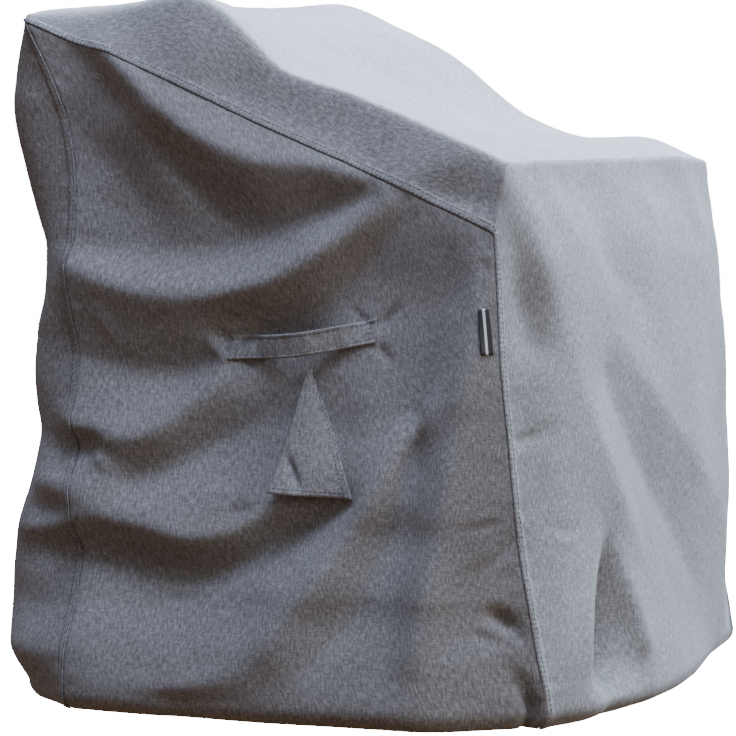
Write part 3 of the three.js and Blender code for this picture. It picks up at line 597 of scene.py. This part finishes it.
def stations(length, fine_start, fine_end):
    """Places from 0 to 1 along a length of cloth, closer together beside a seam."""
    fine = np.array(SEAM_ROWS) / length
    low = fine[-1] if fine_start else 0
    high = 1 - fine[-1] if fine_end else 1
    even_run = np.linspace(low, high, round((high - low) * length / GRID_STEP) + 1)
    parts = [fine[:-1]] if fine_start else []
    parts.append(even_run)
    if fine_end:
        parts.append(1 - fine[:-1][::-1])
    return np.concatenate(parts)


def cloth_mesh(name, cells):
    """A sheet whose grid follows the cells, with its own cloth lengths as the UV map."""
    rows, cols = cells.shape[:2]
    sheet = bmesh.new()
    uv_layer = sheet.loops.layers.uv.new("cloth")
    bmesh.ops.create_grid(sheet, x_segments=cols - 1, y_segments=rows - 1, size=0.5)
    placed = (cells + TO_ORIGIN) / 1000
    across = np.concatenate([np.zeros((rows, 1)), np.linalg.norm(np.diff(placed, axis=1), axis=-1)], 1)
    across = np.cumsum(across, 1)
    across -= across[:, -1:] / 2
    along = np.concatenate([np.zeros((1, cols)), np.linalg.norm(np.diff(placed, axis=0), axis=-1)])
    along = np.cumsum(along.mean(1))
    spots = {}
    for vertex in sheet.verts:
        j = round((vertex.co.x + 0.5) * (cols - 1))
        i = round((vertex.co.y + 0.5) * (rows - 1))
        spots[vertex.index] = (i, j)
        vertex.co = placed[i, j]
    for face in sheet.faces:
        for loop in face.loops:
            i, j = spots[loop.vert.index]
            loop[uv_layer].uv = (across[i, j], along[i])
        face.smooth = True
    mesh = bpy.data.meshes.new(name)
    sheet.to_mesh(mesh)
    sheet.free()
    piece = bpy.data.objects.new(name, mesh)
    bpy.context.collection.objects.link(piece)
    return piece


YARN_DARK = "605e5e"
YARN_MEDIUM = "7c7b7d"
YARN_LIGHT = "9a9a9c"
# Where each yarn colour lies in the mixed pattern
YARN_STOPS = (0.42, 0.56, 0.70)
# Streaks of upright yarns, of crossing yarns, and single flecks: width and length in
# millimetres, and their detail
STREAKS = ((2.5, 9.09, 1.5), (7.69, 2.5, 1.5), (1.25, 1.25, 1))
# Shares of the crossing yarns and of the flecks in the mix
CROSSING_SHARE = 0.36
FLECK_SHARE = 0.26
# Broad patches where the cloth is a little lighter or darker: size in millimetres, and share
PATCH_SIZE = 111
PATCH_SHARE = 0.12
# How deep the yarns' relief is, in millimetres
WEAVE_DEPTH = 0.6


def woven_cover():
    """Woven polyester of mixed dark and light grey yarns, coated inside: matt, with short
    upright streaks where light yarns surface. Real yarns are 0.4 mm; the streaks are drawn at
    2.5 by 9 mm, so that they show."""
    material = bpy.data.materials.new("heathered_grey_polyester")
    material.use_nodes = True
    tree = material.node_tree
    shader = tree.nodes["Principled BSDF"]
    shader.inputs["Roughness"].default_value = 0.86
    shader.inputs["Specular IOR Level"].default_value = 0.25
    shader.inputs["Sheen Weight"].default_value = 0.12
    shader.inputs["Sheen Roughness"].default_value = 0.45
    uv = add_node(tree, "ShaderNodeUVMap", {"uv_map": "cloth"})
    layers = []
    for wide, tall, detail in STREAKS:
        scaled = add_node(tree, "ShaderNodeMapping", {"Scale": (1000 / wide, 1000 / tall, 1)},
                          {"Vector": uv.outputs[0]})
        noise = add_node(tree, "ShaderNodeTexNoise", {"Scale": 1, "Detail": detail, "Roughness": 0.6},
                         {"Vector": scaled.outputs[0]})
        layers.append(noise.outputs["Fac"])
    crossed = add_node(tree, "ShaderNodeMix", {0: CROSSING_SHARE}, {2: layers[0], 3: layers[1]})
    yarn = add_node(tree, "ShaderNodeMix", {0: FLECK_SHARE}, {2: crossed.outputs[0], 3: layers[2]})
    patches = add_node(tree, "ShaderNodeTexNoise", {"Scale": 1000 / PATCH_SIZE, "Detail": 3},
                       {"Vector": uv.outputs[0]})
    mixed = add_node(tree, "ShaderNodeMath", {"operation": "MULTIPLY_ADD", 1: PATCH_SHARE},
                     {0: patches.outputs["Fac"], 2: yarn.outputs[0]})
    ramp = add_node(tree, "ShaderNodeValToRGB", links={0: mixed.outputs[0]})
    stops = ramp.color_ramp.elements
    stops[0].position = YARN_STOPS[0]
    stops[0].color = colour(YARN_DARK)
    stops[1].position = YARN_STOPS[2]
    stops[1].color = colour(YARN_LIGHT)
    stops.new(YARN_STOPS[1]).color = colour(YARN_MEDIUM)
    tree.links.new(ramp.outputs[0], shader.inputs["Base Color"])
    bump = add_node(tree, "ShaderNodeBump", {"Strength": 0.5, "Distance": WEAVE_DEPTH / 1000},
                    {"Height": yarn.outputs[0]})
    tree.links.new(bump.outputs[0], shader.inputs["Normal"])
    return material


cover_cloth = woven_cover()


def finish_sheet(piece, thick, node, material):
    """Gives a sheet its thickness and finish, and lets it stand for its solid."""
    solid = piece.modifiers.new("thickness", "SOLIDIFY")
    solid.thickness = thick / 1000
    solid.offset = -1
    piece.data.materials.append(material)
    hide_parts(node)
    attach(piece, "root")


# Seam: the strip's edge is folded double and topstitched, 9 mm wide, and both sheets pucker
# a little beside it. The panel's edge dips to it and runs on beneath the strip.
BAND_RISE = 1.5
STITCH_LINES = (1.5, 7)
STITCH_PULL = 0.35
EDGE_DIP = 0.75
EDGE_DIP_REACH = 4
# Puckers: their height, how far from the edge they are, how far they spread, and the lengths
# of the two waves along the seam that mix in them
PUCKER = 0.4
PUCKER_PLACE = 13
PUCKER_SPREAD = 8
PUCKER_WAVES = (3.9, 6.1)
PUCKER_SHIFT = 1.3
# How far the panel's edge runs on beneath the strip, and how far down
ALLOWANCE = 4.5
ALLOWANCE_DROP = 0.5


def normals(cells):
    """Outward direction of a sheet at each of its points."""
    out = np.cross(np.gradient(cells, axis=1), np.gradient(cells, axis=0))
    return out / np.maximum(np.linalg.norm(out, axis=-1, keepdims=True), 1e-9)


def seam_relief(cells, sides, doubled):
    """Raises the doubled cloth along the given sides of a sheet, and puckers it beside them."""
    relief = np.zeros(cells.shape[:2])
    for axis, from_end in sides:
        steps = np.linalg.norm(np.diff(cells, axis=axis), axis=-1)
        reach = np.insert(np.cumsum(steps, axis), 0, 0, axis)
        if from_end:
            reach = np.take(reach, [-1], axis) - reach
        steps = np.linalg.norm(np.diff(cells, axis=1 - axis), axis=-1)
        run = np.insert(np.cumsum(steps, 1 - axis), 0, 0, 1 - axis)
        run = np.take(run, [-1 if from_end else 0], axis)
        if doubled:
            relief += BAND_RISE * smooth((SEAM_BAND + BAND_STEP - reach) / (2 * BAND_STEP))
            for line in STITCH_LINES:
                relief -= STITCH_PULL * np.exp(-(reach - line) ** 2)
        else:
            relief -= EDGE_DIP * smooth(1 - reach / EDGE_DIP_REACH)
        waves = np.sin(run / PUCKER_WAVES[0]) + np.sin(run / PUCKER_WAVES[1] + PUCKER_SHIFT)
        relief += PUCKER * waves * np.exp(-((reach - PUCKER_PLACE) / PUCKER_SPREAD) ** 2)
    return cells + normals(cells) * relief[..., None]


def tucked_under(cells):
    """Carries a panel's sewn edges on beneath the strip, as a seam allowance lies."""
    for axis, end, beside in ((1, 0, 1), (1, -1, -2), (0, -1, -2)):
        edge = np.take(cells, [end], axis)
        ahead = edge - np.take(cells, [beside], axis)
        ahead /= np.linalg.norm(ahead, axis=-1, keepdims=True)
        under = edge + ahead * ALLOWANCE - np.take(normals(cells), [end], axis) * ALLOWANCE_DROP
        cells = np.concatenate([under, cells] if end == 0 else [cells, under], axis)
    return cells


# Rough lengths of the cloth, which set how many rows its grid has
STRIP_WIDTH = 800
FRONT_LENGTH = 640
SLOPE_LENGTH = 700
BACK_LENGTH = 800
across = stations(STRIP_WIDTH, True, True)
front_rows = hang(strip_rows(front_lines, stations(FRONT_LENGTH, False, False), across, True))
slope_rows = hang(strip_rows(slope_lines, stations(SLOPE_LENGTH, False, False)[1:-1], across))
back_rows = hang(strip_rows(back_lines, stations(BACK_LENGTH, False, False), across))
centre_cells = np.array([
    *foot_rows(front_rows[0]), *front_rows, *slope_rows, *back_rows[::-1], *foot_rows(back_rows[0])[::-1],
])
centre_cells = seam_relief(centre_cells, ((1, False), (1, True)), True)
centre_strip = cloth_mesh("centre_strip_cloth", centre_cells)
finish_sheet(centre_strip, CLOTH_THICK, "centre_strip", cover_cloth)


# Side panels: one on each side, of the same cloth, cut with a sloping top edge and sewn to the
# strip at the front, the top and the back. The near one has the handle and the vent; the far
# one is plain.
def panel_cells(side):
    """The plain wall between the back seam, the front seam, the foot and the top seam."""
    t = stations(BACK_LENGTH, False, True)[:, None]
    u = stations(HALF_DEPTH * 2, True, True)[None, :]
    ends = {}
    for name, lines in (("front", front_lines), ("back", back_lines)):
        ends[name] = seam_line(lines, t[:, 0], side)[:, None]
    top = seam_line(slope_lines, 1 - u[0], side)[None]
    t3, u3 = t[..., None], u[..., None]
    feet = ends["back"][:1] * (1 - u3) + ends["front"][:1] * u3
    tops = ends["back"][-1:] * (1 - u3) + ends["front"][-1:] * u3
    walls = ends["back"] * (1 - u3) + ends["front"] * u3
    p = walls + feet * (1 - t3) + top * t3 - feet * (1 - t3) - tops * t3
    p[:, 1:-1, 0] = side * side_reach(p[:, 1:-1, 1], p[:, 1:-1, 2])
    rows = hang(p)
    cells = np.array([*foot_rows(rows[0]), *rows])
    if side > 0:
        cells = cells[:, ::-1]
    return tucked_under(seam_relief(cells, ((1, False), (1, True), (0, True)), False))


near_panel = cloth_mesh("near_side_panel_cloth", panel_cells(-1))
finish_sheet(near_panel, CLOTH_THICK, "near_side_panel", cover_cloth)
far_panel = cloth_mesh("far_side_panel_cloth", panel_cells(1))
finish_sheet(far_panel, CLOTH_THICK, "far_side_panel", cover_cloth)


# Seam stitching: two rows of dark polyester thread along both long edges of the strip, each
# stitch a slim bead that lies in its dimple.
THREAD = "3b3c41"
STITCH_PITCH = 5.5
STITCH_LONG = 3.9
STITCH_WIDE = 1.2
# How far ahead and behind a stitch its direction is read
STITCH_AIM = 2
# Columns of the strip's grid that lie on its stitch lines
BAND_COLUMNS = (1, 4, -2, -5)


def thread_finish():
    """Twisted polyester thread: dark and slightly glossy."""
    material = bpy.data.materials.new("dark_polyester_thread")
    material.use_nodes = True
    shader = material.node_tree.nodes["Principled BSDF"]
    shader.inputs["Base Color"].default_value = colour(THREAD)
    shader.inputs["Roughness"].default_value = 0.6
    return material


thread = thread_finish()

bead = bmesh.new()
bmesh.ops.create_uvsphere(bead, u_segments=6, v_segments=4, radius=1)
bead_corners = np.array([vertex.co for vertex in bead.verts])
bead_faces = [[vertex.index for vertex in face.verts] for face in bead.faces]
bead.free()


def stitch_rows(name, lines):
    """Stitches along lines, each given by its points and its outward directions, in mm."""
    corners = []
    for points, outs in lines:
        run = np.insert(np.cumsum(np.linalg.norm(np.diff(points, axis=0), axis=1)), 0, 0)
        at = np.arange(STITCH_PITCH / 2, run[-1] - STITCH_PITCH / 2, STITCH_PITCH)
        spot, before, after, out = [
            np.stack([np.interp(where, run, column) for column in source.T], -1)
            for where, source in (
                (at, points), (at - STITCH_AIM, points), (at + STITCH_AIM, points), (at, outs),
            )
        ]
        ahead = (after - before) / np.linalg.norm(after - before, axis=1, keepdims=True)
        out = out - ahead * (out * ahead).sum(1, keepdims=True)
        out /= np.linalg.norm(out, axis=1, keepdims=True)
        axes = [ahead * STITCH_LONG, np.cross(out, ahead) * STITCH_WIDE, out * STITCH_WIDE]
        beads = spot[:, None] + bead_corners @ (np.stack(axes, 1) / 2)
        corners.append((beads + TO_ORIGIN).reshape(-1, 3) / 1000)
    corners = np.concatenate(corners)
    first = range(0, len(corners), len(bead_corners))
    faces = [[start + index for index in face] for start in first for face in bead_faces]
    mesh = bpy.data.meshes.new(name)
    mesh.from_pydata(corners.tolist(), [], faces)
    mesh.materials.append(thread)
    piece = bpy.data.objects.new(name, mesh)
    bpy.context.collection.objects.link(piece)
    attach(piece, "root")


strip_outs = normals(centre_cells)
# Rows of the strip that are in its turned foot, where the stitching isn't seen
foot = FOOT_TURNS + 2
stitch_rows("seam_stitching", [
    (centre_cells[foot:-foot, column], strip_outs[foot:-foot, column]) for column in BAND_COLUMNS
])


# Handle strap: a strip of the same cloth folded double to 28 mm, stitched along both edges and
# sewn to the near side at its two ends, so that a hand goes behind it.
STRAP_LINE = [(44, 425), (-46, 431), (-137, 448)]
STRAP_WIDE = 28
STRAP_THICK = 2.6
STRAP_POINTS = 90
STRAP_STEPS = 76
# Places across the strap, from its edge to its middle, as shares of its width
STRAP_LEVELS = (0, 0.012, 0.03, 0.06, 0.1, 0.16, 0.24, 0.36, 0.5)
# How far the strap arches out, the share of its length that is sewn down at each end, how full
# the arch is, and how soon it leaves the wall
STRAP_STAND = 25
STRAP_SEWN = 0.06
ARCH_FULLNESS = 0.8
LEAVE_RATE = 3
# Its stitch lines, the roll of the folded edge outside them, and its rounded corner, in
# distance from the edge, width and height
STRAP_EDGE = 4.5
STRAP_PULL = 0.3
EDGE_ROLL = (2, 1.4, 0.5)
CORNER_ROUND = 1.2
CORNER_DROP = 1.0
# Wrinkles across the strap: their height, their two waves along it, and how far from the edge
# they reach their full height
WRINKLE = 0.9
WRINKLE_WAVES = (41, 17)
WRINKLE_EDGE = 6
# Column of its grid that carries the stitching across each end
END_COLUMN = 3
# Gap between the wall and what is sewn to it, and how often the wall's place is worked out anew
LAID_GAP = 0.4
WALL_PASSES = 4


def near_wall(y, z):
    """How far out the near side is, at each place seen from the side."""
    base_y, base_z = y, z
    for _ in range(WALL_PASSES):
        hung = hang(np.stack([-side_reach(base_y, base_z), base_y, base_z], -1))
        base_y = base_y - (hung[..., 1] - y)
        base_z = base_z - (hung[..., 2] - z)
    return hung[..., 0]


line = smooth_line(STRAP_LINE, np.linspace(0, 1, STRAP_POINTS))
run = np.insert(np.cumsum(np.linalg.norm(np.diff(line, axis=0), axis=1)), 0, 0)
along = np.linspace(0, 1, STRAP_STEPS)
y, middle_z = [np.interp(along * run[-1], run, column)[None, :] for column in line.T]
level = np.array(STRAP_LEVELS)
level = np.concatenate([level, 1 - level[-2::-1]])[:, None]
wall = near_wall(y, middle_z)
z = middle_z + STRAP_WIDE * (level - 0.5)
y = np.broadcast_to(y, z.shape)
free = smooth((along - STRAP_SEWN) / (1 - 2 * STRAP_SEWN))
arch = STRAP_STAND * np.sin(math.pi * free) ** ARCH_FULLNESS
from_edge = STRAP_WIDE * np.minimum(level, 1 - level)
roll_place, roll_wide, roll_high = EDGE_ROLL
relief = roll_high * np.exp(-((from_edge - roll_place) / roll_wide) ** 2)
relief = relief - STRAP_PULL * np.exp(-(from_edge - STRAP_EDGE) ** 2)
relief = relief - CORNER_DROP * (1 - smooth(from_edge / CORNER_ROUND))
wrinkles = np.sin(along * WRINKLE_WAVES[0]) * np.sin(along * WRINKLE_WAVES[1] + 1)
relief = relief + WRINKLE * wrinkles * smooth(from_edge / WRINKLE_EDGE)
held = smooth(np.sin(math.pi * free) * LEAVE_RATE)
x = near_wall(y, z) * (1 - held) + wall * held - arch - relief - LAID_GAP - STRAP_THICK
strap_cells = np.stack([x, y, z], -1)
handle_strap = cloth_mesh("handle_strap_band", strap_cells)
finish_sheet(handle_strap, STRAP_THICK, "handle_strap", cover_cloth)
strap_outs = normals(strap_cells)
edge_row = int(np.argmin(np.abs(from_edge[:len(STRAP_LEVELS), 0] - STRAP_EDGE)))
between = slice(edge_row, -edge_row)
stitch_rows("handle_stitching", [
    (strap_cells[edge_row], strap_outs[edge_row]),
    (strap_cells[-1 - edge_row], strap_outs[-1 - edge_row]),
    (strap_cells[between, END_COLUMN], strap_outs[between, END_COLUMN]),
    (strap_cells[between, -1 - END_COLUMN], strap_outs[between, -1 - END_COLUMN]),
])


# Vent flap: a three-cornered hood of the same cloth over the air vent, sewn down its front
# edge, hemmed at its foot and open at the back and below.
VENT_APEX = (-58, 410)
VENT_FOOT = 257
VENT_BACK = -26
VENT_FRONT = -124
# How much higher the foot is at the open edge than at the sewn one
VENT_FOOT_RISE = 6
VENT_THICK = 1.6
# How far the open edge stands out, how soon it opens below the tip, and the bulge across it
VENT_STAND = 20
VENT_OPENING = 0.6
VENT_BULGE = 0.25
# Share of its height that is cut off at the tip
VENT_TIP = 0.05
VENT_ROWS = 48
VENT_COLUMNS = 30
# Hem: its width, how far it rises, over what distance, and the pull of its stitching
HEM = 8
HEM_RISE = 0.7
HEM_EDGE = 1.5
HEM_PULL = 0.3
# Columns and row of its grid with the stitching of the sewn edge and of the hem
SEWN_COLUMNS = (-2, -4)
HEM_ROW = 2
# Dent by the open edge: its place, depth and width, then how it slants, how it tapers, and how
# sharp its rim is
VENT_DENT = (-52, 286, 8, 9)
DENT_SLANT = 0.5
DENT_TAPER = 0.3
DENT_RIM = 3

fall = np.linspace(1, VENT_TIP, VENT_ROWS)[:, None]
u = np.linspace(0, 1, VENT_COLUMNS)[None, :]
z = VENT_APEX[1] + (VENT_FOOT - VENT_APEX[1]) * fall + VENT_FOOT_RISE * (1 - u) * fall ** 2
back_edge = VENT_APEX[0] + (VENT_BACK - VENT_APEX[0]) * fall
front_edge = VENT_APEX[0] + (VENT_FRONT - VENT_APEX[0]) * fall
y = back_edge + (front_edge - back_edge) * u
crown = 1 - u + VENT_BULGE * np.sin(math.pi * u)
from_foot = z - z[:1]
relief = HEM_RISE * smooth((HEM - from_foot) / HEM_EDGE)
relief = relief - HEM_PULL * np.exp(-(from_foot - HEM + HEM_EDGE) ** 2)
dent_y, dent_z, dent_deep, dent_wide = VENT_DENT
from_dent = (y - dent_y - DENT_SLANT * (z - dent_z)) ** 2 + ((z - dent_z) * DENT_TAPER) ** 2
relief = relief - dent_deep * np.exp(-from_dent / dent_wide ** 2 * DENT_RIM)
x = near_wall(y, z) - VENT_STAND * fall ** VENT_OPENING * crown - relief - LAID_GAP - VENT_THICK
vent_cells = np.stack([x, y, z], -1)
vent_flap = cloth_mesh("vent_flap_cloth", vent_cells)
finish_sheet(vent_flap, VENT_THICK, "vent_flap", cover_cloth)
vent_outs = normals(vent_cells)
stitch_rows("vent_stitching", [
    *[(vent_cells[:, column], vent_outs[:, column]) for column in SEWN_COLUMNS],
    (vent_cells[HEM_ROW, 1:-1], vent_outs[HEM_ROW, 1:-1]),
])


# Label: a small dark tag of woven polyester, caught by its front edge beside the near front
# seam, with a plain pale stripe down its middle.
LABEL_TOP = (-271, 476)
LABEL_FOOT = (-277, 424)
LABEL_WIDE = 11
LABEL_THICK = 1.1
# How far its free edge stands off the panel at its foot, which is twice as far as at its top
LABEL_CURL = 2.2
LABEL_DARK = "1b202b"
LABEL_PALE = "c9ccd2"
STRIPE_HALF = 1.6
LABEL_ROWS = 22
LABEL_COLUMNS = 14

t = np.linspace(0, 1, LABEL_ROWS)[:, None]
u = np.linspace(0, 1, LABEL_COLUMNS)[None, :]
y = LABEL_FOOT[0] + (LABEL_TOP[0] - LABEL_FOOT[0]) * t + LABEL_WIDE * (0.5 - u)
z = np.broadcast_to(LABEL_FOOT[1] + (LABEL_TOP[1] - LABEL_FOOT[1]) * t, y.shape)
x = near_wall(y, z) - LAID_GAP - LABEL_THICK - LABEL_CURL * (1 - u) ** 2 * (1 - t / 2)
label_cells = np.stack([x, y, z], -1)
label = cloth_mesh("woven_label", label_cells)


def woven_label():
    """Satin-woven polyester label: near black, with a pale stripe woven in."""
    material = bpy.data.materials.new("woven_satin_label")
    material.use_nodes = True
    tree = material.node_tree
    shader = tree.nodes["Principled BSDF"]
    shader.inputs["Roughness"].default_value = 0.5
    uv = add_node(tree, "ShaderNodeUVMap", {"uv_map": "cloth"})
    parts = add_node(tree, "ShaderNodeSeparateXYZ", links={0: uv.outputs[0]})
    side = add_node(tree, "ShaderNodeMath", {"operation": "ABSOLUTE"}, {0: parts.outputs["X"]})
    stripe = add_node(tree, "ShaderNodeMath", {"operation": "LESS_THAN", 1: STRIPE_HALF / 1000},
                      {0: side.outputs[0]})
    tones = {"data_type": "RGBA", 6: colour(LABEL_DARK), 7: colour(LABEL_PALE)}
    mix = add_node(tree, "ShaderNodeMix", tones, {0: stripe.outputs[0]})
    tree.links.new(mix.outputs[2], shader.inputs["Base Color"])
    return material


finish_sheet(label, LABEL_THICK, "label_tag", woven_label())
